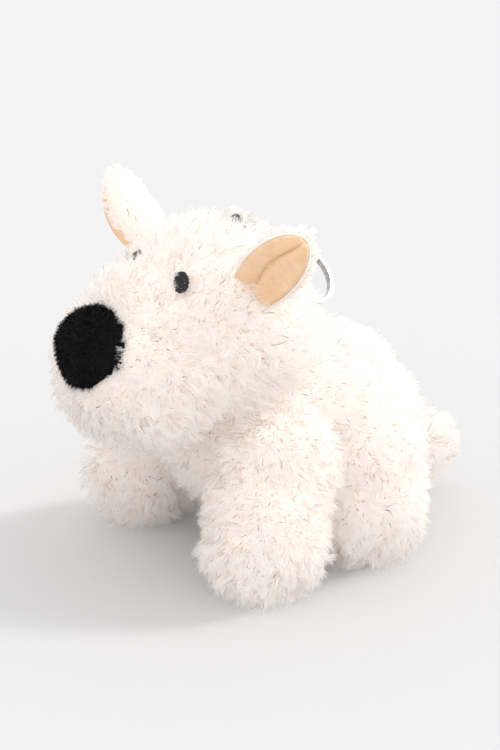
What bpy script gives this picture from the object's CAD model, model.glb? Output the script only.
"""Plush dog on a key ring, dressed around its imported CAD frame: puffed covers with real pile on them,
velour-lined ears, a short-pile nose, stitched eyes and nickel-plated hardware. Metres, seeded."""

import math

import bmesh
import bpy
import numpy as np
from mathutils import Matrix, Vector, noise
from mathutils.kdtree import KDTree


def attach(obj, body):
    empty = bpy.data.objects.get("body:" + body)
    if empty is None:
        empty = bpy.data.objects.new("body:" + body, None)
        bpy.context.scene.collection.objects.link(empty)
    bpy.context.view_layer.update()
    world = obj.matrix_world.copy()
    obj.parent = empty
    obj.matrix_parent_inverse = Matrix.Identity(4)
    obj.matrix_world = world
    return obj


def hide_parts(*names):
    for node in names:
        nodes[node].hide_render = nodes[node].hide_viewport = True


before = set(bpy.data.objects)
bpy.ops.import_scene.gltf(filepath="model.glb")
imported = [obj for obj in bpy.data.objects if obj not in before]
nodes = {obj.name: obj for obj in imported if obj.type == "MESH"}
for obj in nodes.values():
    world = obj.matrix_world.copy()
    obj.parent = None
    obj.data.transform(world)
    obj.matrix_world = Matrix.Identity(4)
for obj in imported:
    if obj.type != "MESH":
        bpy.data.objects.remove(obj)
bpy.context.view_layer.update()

MM = 0.001      # the script works in millimetres and writes metres


# ---------------------------------------------------------------- rounded forms of the stuffed dog

def ball(x, y, z, half_x, half_y, half_z, tilt=0.0):
    """A rounded form in millimetres: centre, semi-axes, tilt about X in degrees."""
    return {"centre": np.array([x, y, z]), "halves": np.array([half_x, half_y, half_z]),
            "turn": np.array(Matrix.Rotation(math.radians(tilt), 3, "X"))}


def mirrored(form):
    twin = dict(form)
    twin["centre"] = form["centre"] * np.array([-1, 1, 1])
    return twin


def depth_in(form, points):
    """Below 1 inside the form, above 1 outside it, for points in millimetres."""
    local = (points - form["centre"]) @ form["turn"]
    return np.linalg.norm(local / form["halves"], axis=1)


SKULL = ball(0, -20.0, 76.0, 32.0, 26.0, 26.0)
MUZZLE = ball(0, -44.5, 66.5, 28.0, 22.5, 20.5)
BROW = ball(0, -40.0, 79.0, 20.0, 16.0, 14.0)
NOSE = ball(0, -59.5, 74.0, 16.6, 9.0, 12.7, -24)
TRUNK = ball(0, 12.5, 36.5, 29.0, 38.0, 28.0, -25)
CHEST = ball(0, -12.0, 42.0, 26.0, 19.0, 24.0)
FRONT_PAW = ball(34.5, -23.5, 15.0, 14.5, 16.0, 14.8)
FRONT_SHIN = ball(31.0, -20.0, 25.0, 14.5, 15.5, 15.0)
FRONT_SHOULDER = ball(26, -14.0, 36.0, 15.0, 16.5, 18.0)
REAR_PAW = ball(31, 17.0, 14.5, 13.0, 14.5, 14.3)
REAR_SHIN = ball(28.5, 18.0, 21.0, 13.5, 15.0, 14.5)
REAR_HIP = ball(25, 18.0, 29.0, 14.5, 16.5, 16.5)
LEGS = {"front": (FRONT_PAW, FRONT_SHIN, FRONT_SHOULDER), "rear": (REAR_PAW, REAR_SHIN, REAR_HIP)}
TAIL_ROOT = ball(0, 47.0, 17.0, 7.0, 8.0, 7.0)
TAIL_BRUSH = ball(0, 57.5, 16.5, 7.0, 11.0, 8.0, 10)


# ---------------------------------------------------------------- mesh helpers

def add_object(name, mesh):
    obj = bpy.data.objects.new(name, mesh)
    bpy.context.scene.collection.objects.link(obj)
    return obj


def ball_mesh(forms, subdivisions=4):
    """All the forms as separate shells in one mesh, in metres."""
    bm = bmesh.new()
    for form in forms:
        shell = bmesh.ops.create_icosphere(bm, subdivisions=subdivisions, radius=1.0)
        for vert in shell["verts"]:
            local = form["turn"] @ (np.array(vert.co) * form["halves"])
            vert.co = Vector((form["centre"] + local) * MM)
    mesh = bpy.data.meshes.new("forms")
    bm.to_mesh(mesh)
    bm.free()
    return mesh


def apply_modifiers(obj):
    """Replace the object's mesh with what its modifiers make of it."""
    depsgraph = bpy.context.evaluated_depsgraph_get()
    mesh = bpy.data.meshes.new_from_object(obj.evaluated_get(depsgraph))
    obj.modifiers.clear()
    old = obj.data
    obj.data = mesh
    bpy.data.meshes.remove(old)


def smooth(obj):
    obj.data.polygons.foreach_set("use_smooth", [True] * len(obj.data.polygons))


def vertex_arrays(mesh):
    points = np.empty(len(mesh.vertices) * 3)
    mesh.vertices.foreach_get("co", points)
    normals = np.empty(len(mesh.vertices) * 3)
    mesh.vertices.foreach_get("normal", normals)
    return points.reshape(-1, 3) / MM, normals.reshape(-1, 3)


VOXEL = 1.5             # millimetres
RELAX_STEPS, RELAX_SHARE = 12, 0.8
LUMP_SPACING = 11.0     # of the soft lumps in the filling, in millimetres
SOLE_HEIGHT = 0.6       # the cover is pressed flat this far above the floor


def stuffed_skin(name, forms, body, replaced, lump=1.2, seed=0):
    """One puffed cover over its forms, with the soft lumps of loose filling, flat where it stands."""
    obj = add_object(name, ball_mesh(forms))
    remesh = obj.modifiers.new("remesh", "REMESH")
    remesh.mode = "VOXEL"
    remesh.voxel_size = VOXEL * MM
    relax = obj.modifiers.new("relax", "SMOOTH")
    relax.factor = RELAX_SHARE
    relax.iterations = RELAX_STEPS
    apply_modifiers(obj)
    points, normals = vertex_arrays(obj.data)
    swell = np.array([noise.noise(Vector(p / LUMP_SPACING) + Vector((seed, 0, 0))) for p in points])
    points = points + normals * (swell * lump)[:, None]
    points[:, 2] = np.maximum(points[:, 2], SOLE_HEIGHT)
    obj.data.vertices.foreach_set("co", (points * MM).ravel())
    obj.data.update()
    smooth(obj)
    obj.data.materials.append(SKIN)
    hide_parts(*replaced)
    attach(obj, body)
    return obj


# ---------------------------------------------------------------- pile

STATIONS = np.array([0.0, 0.3, 0.58, 0.82, 1.0])        # along a strand, root to tip
TAPER = np.array([1.0, 1.0, 0.85, 0.6, 0.0])            # share of the full width at each station
WHORL_SPACING, FINE_SPACING = 9.0, 3.5                  # millimetres
LOOSE_SHARE, LOOSE_PULL = 0.18, 0.1                     # strands that hardly join their clump
TIP_SCATTER = 0.35                                      # millimetres
FLOOR_CLEARANCE = 0.15                                  # millimetres


def unit(vectors):
    length = np.linalg.norm(vectors, axis=-1, keepdims=True)
    return vectors / np.maximum(length, 1e-9)


def scatter(mesh, count, rng):
    """Evenly scattered roots on a mesh and the smooth normals there, in millimetres."""
    mesh.calc_loop_triangles()
    corners = np.empty(len(mesh.loop_triangles) * 3, dtype=np.int32)
    mesh.loop_triangles.foreach_get("vertices", corners)
    corners = corners.reshape(-1, 3)
    points, normals = vertex_arrays(mesh)
    a, b, c = (points[corners[:, i]] for i in range(3))
    area = np.linalg.norm(np.cross(b - a, c - a), axis=1)
    chosen = rng.choice(len(corners), size=count, p=area / area.sum())
    u, v = rng.random(count), rng.random(count)
    over = u + v > 1
    u[over], v[over] = 1 - u[over], 1 - v[over]
    weights = np.stack([1 - u - v, u, v], axis=1)[:, :, None]
    roots = (points[corners[chosen]] * weights).sum(axis=1)
    return roots, unit((normals[corners[chosen]] * weights).sum(axis=1))


def swirled(centres, normals, flow, swirl, seed):
    """The way each clump lies: the flow along the cover, turned by slowly changing whorls."""
    along = flow(centres)
    along = unit(along - normals * (along * normals).sum(axis=1, keepdims=True))
    across = np.cross(normals, along)
    broad = np.array([noise.noise(Vector(p / WHORL_SPACING) + Vector((0, seed, 7))) for p in centres])
    fine = np.array([noise.noise(Vector(p / FINE_SPACING) + Vector((seed, 3, 0))) for p in centres])
    angle = broad * swirl
    angle += fine * 0.8 * swirl
    return along * np.cos(angle)[:, None] + across * np.sin(angle)[:, None]


def strand_mesh(name, spine, sides, widths, shade_normals, tone):
    """Tapering ribbons, one per strand: spine is (strands, stations, 3) in millimetres."""
    strands, stations, _ = spine.shape
    half = sides * widths[None, :, None] * 0.5
    left = spine[:, :-1] - half[:, :-1]
    right = spine[:, :-1] + half[:, :-1]
    pairs = np.stack([left, right], axis=2).reshape(strands, -1, 3)
    points = np.concatenate([pairs, spine[:, -1:]], axis=1)
    per = points.shape[1]
    rows = []
    for step in range(stations - 2):
        low = 2 * step
        rows += [[low, low + 1, low + 3], [low, low + 3, low + 2]]
    rows.append([per - 3, per - 2, per - 1])
    faces = (np.array(rows)[None] + (np.arange(strands) * per)[:, None, None]).reshape(-1, 3)

    mesh = bpy.data.meshes.new(name)
    mesh.vertices.add(strands * per)
    mesh.vertices.foreach_set("co", (points * MM).ravel())
    mesh.loops.add(faces.size)
    mesh.loops.foreach_set("vertex_index", faces.ravel().astype(np.int32))
    mesh.polygons.add(len(faces))
    mesh.polygons.foreach_set("loop_start", np.arange(0, faces.size, 3, dtype=np.int32))
    mesh.polygons.foreach_set("use_smooth", np.ones(len(faces), dtype=bool))
    mesh.update(calc_edges=True)
    shading = np.concatenate([np.repeat(shade_normals[:, :-1], 2, axis=1), shade_normals[:, -1:]], axis=1)
    mesh.normals_split_custom_set_from_vertices(unit(shading).reshape(-1, 3))
    reach = np.concatenate([np.repeat(STATIONS[:-1], 2), STATIONS[-1:]])
    for label, values in (("reach", np.tile(reach, strands)), ("tone", np.repeat(tone, per))):
        layer = mesh.attributes.new(label, "FLOAT", "POINT")
        layer.data.foreach_set("value", values.astype(np.float32))
    return mesh


def nearest(points, centres):
    """The number of the centre that lies nearest to each point."""
    tree = KDTree(len(centres))
    for index, centre in enumerate(centres):
        tree.insert(centre, index)
    tree.balance()
    return np.array([tree.find(point)[1] for point in points])


def strand_curve(start, upright, lean, sideways, reach, turn, sway, stand):
    """Strands that stand up at the root and lie over towards the tip, with a wave in them."""
    t = STATIONS[None, :, None]
    rise = stand * t + (0.25 - 0.35 * stand) * t * t
    run = (1.05 - stand) * (0.35 * t + 0.9 * t * t)
    wobble = np.sin(2 * math.pi * 1.15 * t + turn[:, None, None]) * t * sway[:, None, None]
    lift = np.cos(2 * math.pi * 1.0 * t + 1.7 * turn[:, None, None]) * t * 0.4 * sway[:, None, None]
    spine = (upright[:, None] * rise + lean[:, None] * run) * reach[:, None, None]
    return start[:, None] + spine + sideways[:, None] * wobble + upright[:, None] * lift


def grow_pile(name, skin, body, count, material, seed, flow, hidden=None, length=8.0, width=0.32,
              stand=0.64, clump_size=12, pull=0.7, wave=1.2, swirl=2.4, soft=1.0, trim=None):
    """Wavy pile in clumps: each strand is a tapering ribbon that leans the way its clump lies."""
    rng = np.random.default_rng(seed)
    roots, normals = scatter(skin.data, count, rng)
    if hidden is not None:
        kept = ~hidden(roots)
        roots, normals = roots[kept], normals[kept]
    strands = len(roots)
    centres = roots[::clump_size]
    centre_normals = normals[::clump_size]
    clump = nearest(roots, centres)

    # one leading strand in each clump
    lie = swirled(centres, centre_normals, flow, swirl, seed)
    across = np.cross(centre_normals, lie)
    clump_length = length * (0.72 + 0.5 * rng.random(len(centres)))
    phase = rng.random(len(centres)) * 2 * math.pi
    bend = wave * (0.5 + rng.random(len(centres)))
    shade = rng.random(len(centres))
    lead_length = clump_length if trim is None else clump_length * trim(centres)
    lead = strand_curve(centres, centre_normals, lie, across, lead_length, phase, bend, stand)

    # the other strands follow it, more so towards the tip
    own_length = clump_length[clump] * (0.8 + 0.35 * rng.random(strands))
    if trim is not None:
        own_length = own_length * trim(roots)
    own_lean = unit(lie[clump] + 0.35 * rng.normal(size=(strands, 3)))
    own_lean = unit(own_lean - normals * (own_lean * normals).sum(axis=1, keepdims=True))
    own_phase = phase[clump] + 0.5 * rng.normal(size=strands)
    own = strand_curve(roots, normals, own_lean, across[clump], own_length, own_phase, bend[clump], stand)
    loose = rng.random(strands) < LOOSE_SHARE
    grip = np.where(loose, LOOSE_PULL, pull)[:, None, None] * STATIONS[None, :, None] ** 0.8
    spine = own * (1 - grip) + lead[clump] * grip
    spine += rng.normal(size=(strands, 1, 3)) * TIP_SCATTER * STATIONS[None, :, None]
    spine[:, :, 2] = np.maximum(spine[:, :, 2], FLOOR_CLEARANCE)

    # ribbons that face outwards, shaded mostly as the cover under them
    tangent = unit(np.gradient(spine, axis=1))
    facing = unit(normals[:, None] + 0.45 * rng.normal(size=(strands, 1, 3)))
    sides = unit(np.cross(tangent, facing))
    away = spine - lead[clump]
    shading = unit(normals[:, None] * soft + 0.2 * unit(away) + 0.25 * unit(np.cross(sides, tangent)))
    tone = np.clip(shade[clump] * 0.65 + 0.35 * rng.random(strands), 0, 1)
    obj = add_object(name, strand_mesh(name, spine, sides, width * TAPER, shading, tone))
    obj.data.materials.append(material)
    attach(obj, body)
    return obj


# ---------------------------------------------------------------- materials

def new_material(name):
    material = bpy.data.materials.new(name)
    material.use_nodes = True
    tree = material.node_tree
    shader = next(n for n in tree.nodes if n.type == "BSDF_PRINCIPLED")
    return material, tree, shader


def ramp(tree, factor, stops):
    """A colour ramp over a factor; stops are (position, (r, g, b))."""
    node = tree.nodes.new("ShaderNodeValToRGB")
    node.color_ramp.elements[0].position = stops[0][0]
    node.color_ramp.elements[0].color = (*stops[0][1], 1)
    node.color_ramp.elements[1].position = stops[-1][0]
    node.color_ramp.elements[1].color = (*stops[-1][1], 1)
    for position, colour in stops[1:-1]:
        node.color_ramp.elements.new(position).color = (*colour, 1)
    tree.links.new(factor, node.inputs["Fac"])
    return node.outputs["Color"]


def attribute(tree, name):
    node = tree.nodes.new("ShaderNodeAttribute")
    node.attribute_name = name
    return node.outputs["Fac"]


def object_noise(tree, per_metre, detail=3.0):
    """Noise in the object's own space."""
    place = tree.nodes.new("ShaderNodeTexCoord")
    grain = tree.nodes.new("ShaderNodeTexNoise")
    grain.inputs["Scale"].default_value = per_metre
    grain.inputs["Detail"].default_value = detail
    tree.links.new(place.outputs["Object"], grain.inputs["Vector"])
    return grain.outputs["Fac"]


def mix_colour(tree, factor, first, second, blend="MIX"):
    node = tree.nodes.new("ShaderNodeMix")
    node.data_type = "RGBA"
    node.blend_type = blend
    if isinstance(factor, float):
        node.inputs[0].default_value = factor
    else:
        tree.links.new(factor, node.inputs[0])
    tree.links.new(first, node.inputs[6])
    tree.links.new(second, node.inputs[7])
    return node.outputs[2]


def bump(tree, shader, height, strength, distance):
    node = tree.nodes.new("ShaderNodeBump")
    node.inputs["Strength"].default_value = strength
    node.inputs["Distance"].default_value = distance
    tree.links.new(height, node.inputs["Height"])
    tree.links.new(node.outputs["Normal"], shader.inputs["Normal"])


def let_light_through(tree, shader, colour, glow, thin):
    """Fine white fibre passes light on: part of it glows from behind, and its shadow is thin."""
    translucent = tree.nodes.new("ShaderNodeBsdfTranslucent")
    tree.links.new(colour, translucent.inputs["Color"])
    fibre = tree.nodes.new("ShaderNodeMixShader")
    fibre.inputs[0].default_value = glow
    tree.links.new(shader.outputs[0], fibre.inputs[1])
    tree.links.new(translucent.outputs[0], fibre.inputs[2])
    path = tree.nodes.new("ShaderNodeLightPath")
    scattered = tree.nodes.new("ShaderNodeMath")
    scattered.operation = "MAXIMUM"
    tree.links.new(path.outputs["Is Shadow Ray"], scattered.inputs[0])
    tree.links.new(path.outputs["Is Diffuse Ray"], scattered.inputs[1])
    share = tree.nodes.new("ShaderNodeMath")
    share.operation = "MULTIPLY"
    share.inputs[1].default_value = thin
    tree.links.new(scattered.outputs[0], share.inputs[0])
    clear = tree.nodes.new("ShaderNodeBsdfTransparent")
    whole = tree.nodes.new("ShaderNodeMixShader")
    tree.links.new(share.outputs[0], whole.inputs[0])
    tree.links.new(fibre.outputs[0], whole.inputs[1])
    tree.links.new(clear.outputs[0], whole.inputs[2])
    output = next(n for n in tree.nodes if n.type == "OUTPUT_MATERIAL")
    tree.links.new(whole.outputs[0], output.inputs["Surface"])


FIBRE_GLOW, FIBRE_CLEAR = 0.5, 0.97


def pile_material(name, root, middle, tip):
    """Pile that is warm and deep at the root and bleached at the tip, each clump a little different."""
    material, tree, shader = new_material(name)
    along = ramp(tree, attribute(tree, "reach"), [(0.0, root), (0.35, middle), (0.8, tip)])
    shades = ramp(tree, attribute(tree, "tone"), [(0.0, (0.98, 0.965, 0.95)), (1.0, (1.0, 1.0, 1.0))])
    patches = ramp(tree, object_noise(tree, 55.0), [(0.3, (1.0, 0.985, 0.97)), (0.7, (1.0, 1.0, 1.0))])
    colour = mix_colour(tree, 1.0, mix_colour(tree, 1.0, along, shades, "MULTIPLY"), patches, "MULTIPLY")
    tree.links.new(colour, shader.inputs["Base Color"])
    shader.inputs["Roughness"].default_value = 0.78
    shader.inputs["Specular IOR Level"].default_value = 0.15
    shader.inputs["Sheen Weight"].default_value = 0.25
    shader.inputs["Sheen Roughness"].default_value = 0.5
    let_light_through(tree, shader, colour, FIBRE_GLOW, FIBRE_CLEAR)
    return material


def skin_material():
    """The knitted backing between the pile's roots."""
    material, tree, shader = new_material("backing")
    colour = ramp(tree, object_noise(tree, 900.0), [(0.3, (0.96, 0.83, 0.74)), (0.7, (0.98, 0.91, 0.85))])
    tree.links.new(colour, shader.inputs["Base Color"])
    shader.inputs["Roughness"].default_value = 0.9
    shader.inputs["Specular IOR Level"].default_value = 0.1
    bump(tree, shader, object_noise(tree, 1600.0), 0.6, 0.0004)
    return material


def velour_material():
    """Short brushed peach velour: soft patches where the nap is laid over, and a fine grain."""
    material, tree, shader = new_material("velour")
    patches = ramp(tree, object_noise(tree, 260.0, 4.0),
                   [(0.3, (0.86, 0.56, 0.34)), (0.7, (0.93, 0.67, 0.45))])
    grain = ramp(tree, object_noise(tree, 3200.0, 2.0),
                 [(0.3, (0.86, 0.84, 0.80)), (0.7, (1.0, 1.0, 1.0))])
    tree.links.new(mix_colour(tree, 1.0, patches, grain, "MULTIPLY"), shader.inputs["Base Color"])
    shader.inputs["Roughness"].default_value = 0.85
    shader.inputs["Specular IOR Level"].default_value = 0.15
    shader.inputs["Sheen Weight"].default_value = 0.5
    shader.inputs["Sheen Roughness"].default_value = 0.4
    bump(tree, shader, object_noise(tree, 2600.0), 0.5, 0.0003)
    return material


def black_pile_material(name, deep, tip):
    material, tree, shader = new_material(name)
    colour = ramp(tree, attribute(tree, "reach"), [(0.0, deep), (1.0, tip)])
    shades = ramp(tree, object_noise(tree, 300.0), [(0.3, (0.7, 0.7, 0.7)), (0.7, (1.0, 1.0, 1.0))])
    tree.links.new(mix_colour(tree, 1.0, colour, shades, "MULTIPLY"), shader.inputs["Base Color"])
    shader.inputs["Roughness"].default_value = 0.9
    shader.inputs["Specular IOR Level"].default_value = 0.08
    return material


def thread_material():
    material, tree, shader = new_material("eye_thread")
    colour = ramp(tree, object_noise(tree, 2200.0),
                  [(0.35, (0.008, 0.008, 0.010)), (0.75, (0.06, 0.06, 0.065))])
    tree.links.new(colour, shader.inputs["Base Color"])
    shader.inputs["Roughness"].default_value = 0.55
    shader.inputs["Specular IOR Level"].default_value = 0.3
    bump(tree, shader, object_noise(tree, 5000.0), 0.3, 0.0001)
    return material


def metal_material(name, light, dark, roughness):
    """Plated metal: faint tumbling marks, a little uneven in gloss."""
    material, tree, shader = new_material(name)
    colour = ramp(tree, object_noise(tree, 700.0), [(0.3, dark), (0.7, light)])
    tree.links.new(colour, shader.inputs["Base Color"])
    shader.inputs["Metallic"].default_value = 1.0
    gloss = ramp(tree, object_noise(tree, 1500.0),
                 [(0.3, (roughness,) * 3), (0.8, (roughness * 1.8,) * 3)])
    tree.links.new(gloss, shader.inputs["Roughness"])
    bump(tree, shader, object_noise(tree, 2500.0), 0.12, 0.00005)
    return material


def ribbon_material():
    """Fine woven tape."""
    material, tree, shader = new_material("ribbon")
    place = tree.nodes.new("ShaderNodeTexCoord")
    weave = tree.nodes.new("ShaderNodeTexWave")
    weave.inputs["Scale"].default_value = 900.0
    weave.inputs["Distortion"].default_value = 1.0
    tree.links.new(place.outputs["Object"], weave.inputs["Vector"])
    colour = ramp(tree, weave.outputs["Fac"], [(0.0, (0.78, 0.72, 0.65)), (1.0, (0.93, 0.90, 0.86))])
    tree.links.new(colour, shader.inputs["Base Color"])
    shader.inputs["Roughness"].default_value = 0.7
    bump(tree, shader, weave.outputs["Fac"], 0.5, 0.0002)
    return material


def floor_material():
    material, tree, shader = new_material("floor")
    colour = ramp(tree, object_noise(tree, 3.0),
                  [(0.3, (0.598, 0.600, 0.602)), (0.7, (0.608, 0.609, 0.611))])
    tree.links.new(colour, shader.inputs["Base Color"])
    shader.inputs["Roughness"].default_value = 0.9
    shader.inputs["Specular IOR Level"].default_value = 0.0
    return material


SKIN = skin_material()
PILE = pile_material("white_pile", (0.97, 0.83, 0.74), (0.985, 0.93, 0.885), (0.995, 0.98, 0.965))
VELOUR = velour_material()
NOSE_PILE = black_pile_material("nose_pile", (0.006, 0.006, 0.007), (0.024, 0.024, 0.027))
NOSE_BACKING = black_pile_material("nose_backing", (0.008, 0.008, 0.009), (0.01, 0.01, 0.011))
THREAD = thread_material()
NICKEL = metal_material("nickel", (0.58, 0.57, 0.56), (0.30, 0.30, 0.30), 0.14)
STEEL = metal_material("spring_steel", (0.60, 0.60, 0.60), (0.45, 0.45, 0.46), 0.3)
RIBBON = ribbon_material()


# ---------------------------------------------------------------- covers and their pile

NOSE_CENTRE = NOSE["centre"]
EYES = np.array([[13.2, -37.4, 94.3], [-13.2, -37.4, 94.3]])

CROWN = np.array([-1.0, -12.0, 102.0])

def nearest_eye(points):
    return np.min(np.linalg.norm(points[:, None] - EYES[None], axis=2), axis=1)


def head_flow(points):
    """Away from the nose over the face, then down and back over the cheeks."""
    away = unit(points - NOSE_CENTRE)
    return away * np.array([1.0, 0.9, 0.6]) + np.array([0, 0.15, -0.55])


def head_hidden(points):
    """No pile under the nose or the eyes."""
    return (depth_in(NOSE, points) < 0.93) | (nearest_eye(points) < 3.2)


def head_trim(points):
    """Shorter pile round the left eye and the nose, and a longer tuft on the crown."""
    left_eye = np.linalg.norm(points - EYES[0], axis=1)
    near_eye = np.clip((left_eye - 1.0) / 7.0, 0.3, 1.0)
    near_nose = np.clip((depth_in(NOSE, points) - 0.85) / 0.7, 0.3, 1.0)
    crown = 1.0 + 0.45 * np.exp(-np.sum((points - CROWN) ** 2, axis=1) / 110.0)
    return near_eye * near_nose * crown


def down_and_back(points):
    return np.tile(np.array([0.0, 0.55, -0.8]), (len(points), 1))


def leg_flow(points):
    """Down, a little forward and outward."""
    flow = np.tile(np.array([0.3, -0.1, -1.0]), (len(points), 1))
    flow[:, 0] *= np.sign(points[:, 0])
    return flow


def tail_flow(points):
    return np.tile(np.array([0.0, 1.0, 0.15]), (len(points), 1))


HEAD_STRANDS = BODY_STRANDS = 28000         # in each of two layers
LEG_STRANDS, TAIL_STRANDS, NOSE_STRANDS, EAR_STRANDS = 26000, 9000, 14000, 9000
LAYERS = (1, 2)


def inside_any(*forms, level=0.9):
    def hidden(points):
        result = np.zeros(len(points), dtype=bool)
        for form in forms:
            result |= depth_in(form, points) < level
        return result
    return hidden


def make_head():
    """The cover, and pile that parts round the nose and the eyes."""
    skin = stuffed_skin("head_cover", [SKULL, MUZZLE, BROW], "head",
                        ["head_side_left", "head_side_right", "head_gusset", "chin_panel",
                         "head_stuffing"],
                        seed=1)
    for layer in LAYERS:
        grow_pile(f"head_pile_{layer}", skin, "head", HEAD_STRANDS, PILE, 10 + layer,
                  head_flow, head_hidden, trim=head_trim)


def make_trunk():
    skin = stuffed_skin("body_cover", [TRUNK, CHEST], "torso",
                        ["body_side_left", "body_side_right", "belly_panel", "body_stuffing"], seed=2)
    for layer in LAYERS:
        grow_pile(f"body_pile_{layer}", skin, "torso", BODY_STRANDS, PILE, 50 + layer,
                  down_and_back, inside_any(SKULL, level=0.8))


def make_legs():
    for end, forms in LEGS.items():
        for side in ("left", "right"):
            own = forms if side == "left" else [mirrored(form) for form in forms]
            name = f"leg_{end}_{side}"
            replaced = [f"{name}_{piece}" for piece in ("outer_panel", "inner_panel", "stuffing")]
            skin = stuffed_skin(f"{name}_cover", own, name, replaced, seed=3 + len(name))
            grow_pile(f"{name}_pile", skin, name, LEG_STRANDS, PILE, 13 + len(name) * 3,
                      leg_flow, inside_any(TRUNK, level=0.85), length=7.5)


def make_tail():
    skin = stuffed_skin("tail_skin", [TAIL_ROOT, TAIL_BRUSH], "tail", ["tail_cover", "tail_stuffing"],
                        seed=9)
    grow_pile("tail_pile", skin, "tail", TAIL_STRANDS, PILE, 19, tail_flow,
              inside_any(TRUNK, level=0.9), length=7.0)


# ---------------------------------------------------------------- nose and eyes

def make_nose():
    """A domed pad with a pointed lower tip, covered in very short black pile."""
    bm = bmesh.new()
    bmesh.ops.create_icosphere(bm, subdivisions=5, radius=1.0)
    for vert in bm.verts:
        x, y, z = vert.co
        taper = 1.0 - 0.34 * max(0.0, -z) ** 1.3 - 0.05 * max(0.0, z)
        bulge = 1.0 + 0.05 * (1 - z * z)
        local = NOSE["turn"] @ (np.array([x * taper, y * bulge, z]) * NOSE["halves"])
        vert.co = Vector((NOSE_CENTRE + local) * MM)
    mesh = bpy.data.meshes.new("nose_pad")
    bm.to_mesh(mesh)
    bm.free()
    pad = add_object("nose_pad", mesh)
    smooth(pad)
    pad.data.materials.append(NOSE_BACKING)
    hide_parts("nose")
    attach(pad, "head")

    def downwards(points):
        return np.tile(np.array([0.0, -0.2, -1.0]), (len(points), 1))

    grow_pile("nose_pile", pad, "head", NOSE_STRANDS, NOSE_PILE, 21, downwards,
              length=1.15, width=0.16, stand=0.8, pull=0.3, wave=0.1, swirl=1.2, clump_size=8)


def tube(points, radius, sides=6):
    """Vertices and faces of a closed tube along points."""
    rings, faces = [], []
    count = len(points)
    for index, point in enumerate(points):
        ahead = points[min(index + 1, count - 1)] - points[max(index - 1, 0)]
        ahead = ahead / np.linalg.norm(ahead)
        side = np.cross(ahead, np.array([0.0, 0.0, 1.0]))
        side /= max(np.linalg.norm(side), 1e-6)
        over = np.cross(side, ahead)
        for step in range(sides):
            angle = 2 * math.pi * step / sides
            rings.append(point + radius * (side * math.cos(angle) + over * math.sin(angle)))
    for ring in range(count - 1):
        for step in range(sides):
            nxt = (step + 1) % sides
            faces.append([ring * sides + step, ring * sides + nxt, (ring + 1) * sides + nxt,
                          (ring + 1) * sides + step])
    faces.append(list(range(sides))[::-1])
    faces.append([(count - 1) * sides + step for step in range(sides)])
    return rings, faces


EYE_THREADS, THREAD_RADIUS = 21, 0.21
EYE_HALF_LONG, EYE_HALF_SHORT, EYE_RISE, EYE_SLANT = 3.5, 2.3, 0.7, 28.0


def make_eye(side, name, node):
    """A slanted oval of satin stitch: parallel threads arched over a small pad, their ends uneven."""
    rng = np.random.default_rng(31 + side)
    centre = EYES[0] * np.array([side, 1, 1])
    outward = unit((centre - SKULL["centre"]) / SKULL["halves"] ** 2)
    up = unit(np.array([0, 0, 1.0]) - outward * outward[2])
    across = np.cross(up, outward)
    slant = math.radians(-EYE_SLANT * side)
    long_way = up * math.cos(slant) + across * math.sin(slant)
    thread_way = np.cross(long_way, outward)
    points, faces = [], []
    for index in range(EYE_THREADS):
        place = -1 + 2 * (index + 0.5) / EYE_THREADS
        reach = EYE_HALF_SHORT * math.sqrt(1 - place ** 2) * (0.86 + 0.2 * rng.random()) + 0.15
        spine = []
        for t in np.linspace(-1, 1, 9):
            height = EYE_RISE * (1 - t * t) * math.sqrt(1 - 0.8 * place ** 2) + 0.9 + 0.12 * rng.normal()
            spine.append(centre + long_way * (place * EYE_HALF_LONG + 0.05 * rng.normal())
                         + thread_way * (t * reach) + outward * height)
        ring, quads = tube(np.array(spine), THREAD_RADIUS)
        base = len(points)
        points += ring
        faces += [[base + corner for corner in quad] for quad in quads]
    mesh = bpy.data.meshes.new(name)
    mesh.from_pydata([tuple(p * MM) for p in points], [], faces)
    eye = add_object(name, mesh)
    smooth(eye)
    eye.data.materials.append(THREAD)
    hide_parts(node)
    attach(eye, "head")


# ---------------------------------------------------------------- ears

EAR_LENGTH, EAR_HALF_WIDTH, EAR_CUP = 25.0, 8.8, 13.0
LINING_RIM = 0.06       # share of the ear's half width that the lining stays back from the edge
EARS = {
    "left": {"base": (26.0, -22.0, 93.0), "across": (0.5918, 0.4111, -0.6934),
             "behind": (-0.5365, 0.8428, 0.0418), "along": (0.6016, 0.3473, 0.7193), "hem_shift": 0.0},
    "right": {"base": (-26.0, -22.0, 93.0), "across": (0.4542, -0.8846, -0.1057),
              "behind": (0.7344, 0.3046, 0.6065), "along": (-0.5043, -0.3531, 0.788), "hem_shift": 0.3},
}


def ear_point(ear, u, v, offset):
    """A point of the cupped leaf: u from foot to tip, v across it, offset towards the back."""
    if u < 0.38:
        width = 0.80 + 0.20 * math.sin(math.pi / 2 * u / 0.38)
    else:
        width = max(0.0, 1 - ((u - 0.38) / 0.62) ** 2.2) ** 0.62
    angle = v * width * EAR_HALF_WIDTH / EAR_CUP
    radius = EAR_CUP + offset
    x = radius * math.sin(angle)
    y = radius * math.cos(angle) - EAR_CUP
    z = 0.5 + u * EAR_LENGTH
    base, across, behind, along = (np.array(ear[key]) for key in ("base", "across", "behind", "along"))
    return base + across * x + behind * y + along * z


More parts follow.
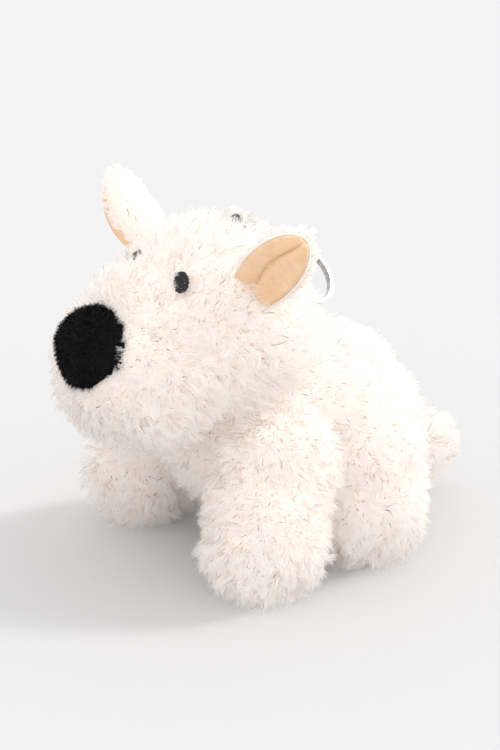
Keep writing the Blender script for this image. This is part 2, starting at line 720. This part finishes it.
def leaf_mesh(name, ear, front, back, rim=0.0, shift=0.0, rows=34, columns=30):
    """A closed leaf between a front and a back surface, given as offsets at (u, v)."""
    points, faces = [], []
    for surface in (front, back):
        for row in range(rows + 1):
            u = row / rows * (1 - rim * 0.4)
            for column in range(columns + 1):
                v = (-1 + 2 * column / columns) * (1 - rim) + shift
                points.append(ear_point(ear, u, v, surface(u, v)))
    stride = columns + 1
    sheet = (rows + 1) * stride

    def index(surface, row, column):
        return surface * sheet + row * stride + column

    for row in range(rows):
        for column in range(columns):
            a, b = index(0, row, column), index(0, row, column + 1)
            c, d = index(0, row + 1, column + 1), index(0, row + 1, column)
            faces.append([a, b, c, d])
            faces.append([corner + sheet for corner in (d, c, b, a)])
        for column, flip in ((0, False), (columns, True)):
            edge = [index(0, row, column), index(0, row + 1, column), index(1, row + 1, column),
                    index(1, row, column)]
            faces.append(edge[::-1] if flip else edge)
    for row, flip in ((0, True), (rows, False)):
        for column in range(columns):
            edge = [index(0, row, column), index(0, row, column + 1), index(1, row, column + 1),
                    index(1, row, column)]
            faces.append(edge[::-1] if flip else edge)
    mesh = bpy.data.meshes.new(name)
    mesh.from_pydata([tuple(p * MM) for p in points], [], faces)
    mesh.validate()
    return mesh


def lining_front(u, v):
    """Two soft lobes with a crease between them that runs from the foot towards the tip."""
    crease = 0.05 - 0.35 * math.sin(math.pi * u) ** 1.5
    side = (v - crease) / (1 - crease if v > crease else 1 + crease)
    fade = math.sin(math.pi * min(1.0, max(0.0, u * 1.02))) ** 0.5
    lobe = math.sin(math.pi * min(1.0, abs(side)) ** 0.55) ** 0.9
    return -0.9 - 2.3 * lobe * fade


def make_ear(side):
    ear = EARS[side]
    body = f"ear_{side}"
    back = add_object(f"ear_back_skin_{side}",
                      leaf_mesh("ear_back", ear, lambda u, v: 0.1, lambda u, v: 1.7 * (1 - 0.5 * v * v)))
    back.data.materials.append(SKIN)
    smooth(back)
    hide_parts(f"ear_back_{side}")
    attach(back, body)
    lining = add_object(f"ear_velour_{side}",
                        leaf_mesh("ear_velour", ear, lining_front, lambda u, v: 0.0, LINING_RIM,
                                  ear["hem_shift"]))
    lining.data.materials.append(VELOUR)
    smooth(lining)
    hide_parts(f"ear_lining_{side}")
    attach(lining, body)

    base, across, behind, along = (np.array(ear[key]) for key in ("base", "across", "behind", "along"))

    def in_front(points):
        """Where no pile grows: on the lining's side and on the foot."""
        local = points - base
        x, y = local @ across, local @ behind
        cup = np.sqrt(x * x + (y + EAR_CUP) ** 2) - EAR_CUP
        return (cup < 0.6) | (local @ along < 2.0)

    def to_tip(points):
        return np.tile(along, (len(points), 1))

    grow_pile(f"ear_pile_{side}", back, body, EAR_STRANDS, PILE, 41 + len(side), to_tip,
              in_front, length=3.6, width=0.3, stand=0.45, wave=0.4, swirl=0.6)


# ---------------------------------------------------------------- hardware

def dress_hardware():
    looks = {"clasp_body": NICKEL, "trigger_lever": NICKEL, "trigger_pin": NICKEL, "swivel_eye": NICKEL,
             "connecting_link": NICKEL, "split_ring": NICKEL, "trigger_spring": STEEL,
             "hanging_loop": RIBBON}
    for node, material in looks.items():
        nodes[node].data.materials.clear()
        nodes[node].data.materials.append(material)


# ---------------------------------------------------------------- floor, light and camera

CAMERA_AZIMUTH, CAMERA_ELEVATION, CAMERA_DISTANCE = 57.0, 22.0, 0.8
TARGET = Vector((0.0, 0.0025, 0.045))
PILE_DEPTH = 40         # strands that one ray may pass through before it ends dark
LENS, SENSOR_HEIGHT = 124.0, 36.0                       # millimetres
FRAME_HEIGHT, SHIFT_RIGHT, SHIFT_UP = 750.0, -23.0, 24.0
FLOOR_REACH = 6.0
SKY_STRENGTH, KEY_STRENGTH, KEY_SPREAD = 1.36, 1.36, 9.0
KEY_AZIMUTH, KEY_ELEVATION = 167.0, 33.0


def direction(azimuth, elevation):
    a, e = math.radians(azimuth), math.radians(elevation)
    return Vector((math.sin(a) * math.cos(e), -math.cos(a) * math.cos(e), math.sin(e)))


def make_floor():
    mesh = bpy.data.meshes.new("floor")
    reach = FLOOR_REACH
    mesh.from_pydata([(-reach, -reach, 0), (reach, -reach, 0), (reach, reach, 0), (-reach, reach, 0)], [],
                     [[0, 1, 2, 3]])
    floor = add_object("floor", mesh)
    floor.data.materials.append(floor_material())


def make_light():
    world = bpy.data.worlds.new("studio")
    bpy.context.scene.world = world
    world.use_nodes = True
    tree = world.node_tree
    background = next(n for n in tree.nodes if n.type == "BACKGROUND")
    place = tree.nodes.new("ShaderNodeTexCoord")
    split = tree.nodes.new("ShaderNodeSeparateXYZ")
    tree.links.new(place.outputs["Generated"], split.inputs[0])
    sky = ramp(tree, split.outputs["Z"], [(0.0, (0.90, 0.88, 0.87)), (0.35, (0.88, 0.87, 0.865)),
                                          (1.0, (0.97, 0.97, 0.98))])
    tree.links.new(sky, background.inputs["Color"])
    background.inputs["Strength"].default_value = SKY_STRENGTH
    sun = bpy.data.lights.new("key", "SUN")
    sun.energy = KEY_STRENGTH
    sun.angle = math.radians(KEY_SPREAD)
    sun.color = (1.0, 0.99, 0.975)
    key = bpy.data.objects.new("key", sun)
    bpy.context.scene.collection.objects.link(key)
    key.rotation_euler = direction(KEY_AZIMUTH, KEY_ELEVATION).to_track_quat("Z", "Y").to_euler()


def make_camera():
    camera = bpy.data.cameras.new("camera")
    camera.sensor_fit = "VERTICAL"
    camera.sensor_height = SENSOR_HEIGHT
    camera.lens = LENS
    camera.shift_x = SHIFT_RIGHT / FRAME_HEIGHT
    camera.shift_y = SHIFT_UP / FRAME_HEIGHT
    camera.clip_start = 0.05
    obj = bpy.data.objects.new("camera", camera)
    bpy.context.scene.collection.objects.link(obj)
    towards = direction(CAMERA_AZIMUTH, CAMERA_ELEVATION)
    obj.location = TARGET + towards * CAMERA_DISTANCE
    obj.rotation_euler = towards.to_track_quat("Z", "Y").to_euler()
    bpy.context.scene.camera = obj
    bpy.context.scene.view_settings.view_transform = "Standard"
    bpy.context.scene.cycles.transparent_max_bounces = PILE_DEPTH


make_head()
make_trunk()
make_legs()
make_tail()
make_nose()
make_eye(1, "eye_stitches_left", "eye_left")
make_eye(-1, "eye_stitches_right", "eye_right")
make_ear("left")
make_ear("right")
dress_hardware()
make_floor()
make_light()
make_camera()
